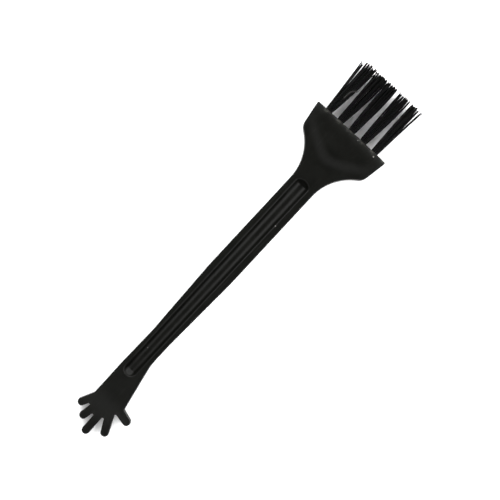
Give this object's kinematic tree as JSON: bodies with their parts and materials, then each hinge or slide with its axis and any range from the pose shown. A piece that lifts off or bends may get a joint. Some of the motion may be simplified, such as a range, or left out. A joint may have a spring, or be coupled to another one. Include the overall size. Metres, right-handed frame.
{
  "type": "small cleaning brush",
  "caption": "Flat moulded hand brush with a wide end-set bristle head, a slim scooped arm and a hand-shaped end.",
  "frame": {"origin": "under the middle of the brush, on the plane of its flat back", "axes": "+Y along the brush from the fingers to the bristle tips, +X across the head towards the thumb's side, +Z out of the front face with the recess"},
  "size_m": [0.0314, 0.16, 0.0066],
  "materials": {
    "handle_plastic": "satin moulded black polypropylene",
    "bristle_nylon": "black nylon filament",
    "anchor_wire": "bright flat wire"
  },
  "bodies": {
    "root": {"handle": "handle_plastic", "tuft_1_root": "bristle_nylon", "tuft_2_root": "bristle_nylon", "tuft_3_root": "bristle_nylon", "tuft_4_root": "bristle_nylon", "tuft_5_root": "bristle_nylon", "anchor_1": "anchor_wire", "anchor_2": "anchor_wire", "anchor_3": "anchor_wire", "anchor_4": "anchor_wire", "anchor_5": "anchor_wire"},
    "bristles_1": {"tuft_1": "bristle_nylon"},
    "bristles_2": {"tuft_2": "bristle_nylon"},
    "bristles_3": {"tuft_3": "bristle_nylon"},
    "bristles_4": {"tuft_4": "bristle_nylon"},
    "bristles_5": {"tuft_5": "bristle_nylon"}
  },
  "joints": [
    {"name": "tuft_1_flex", "type": "hinge", "parent": "root", "child": "bristles_1", "pos_m": [-0.0108, 0.0593, 0.0033], "axis": [1, 0, 0], "range_deg": [-35, 35], "stiffness_Nm_per_rad": 0.0077},
    {"name": "tuft_2_flex", "type": "hinge", "parent": "root", "child": "bristles_2", "pos_m": [-0.0055, 0.0593, 0.0033], "axis": [1, 0, 0], "range_deg": [-35, 35], "stiffness_Nm_per_rad": 0.0077},
    {"name": "tuft_3_flex", "type": "hinge", "parent": "root", "child": "bristles_3", "pos_m": [-0.0002, 0.0593, 0.0033], "axis": [1, 0, 0], "range_deg": [-35, 35], "stiffness_Nm_per_rad": 0.0077},
    {"name": "tuft_4_flex", "type": "hinge", "parent": "root", "child": "bristles_4", "pos_m": [0.0051, 0.0593, 0.0033], "axis": [1, 0, 0], "range_deg": [-35, 35], "stiffness_Nm_per_rad": 0.0077},
    {"name": "tuft_5_flex", "type": "hinge", "parent": "root", "child": "bristles_5", "pos_m": [0.0104, 0.0593, 0.0033], "axis": [1, 0, 0], "range_deg": [-35, 35], "stiffness_Nm_per_rad": 0.0077}
  ]
}
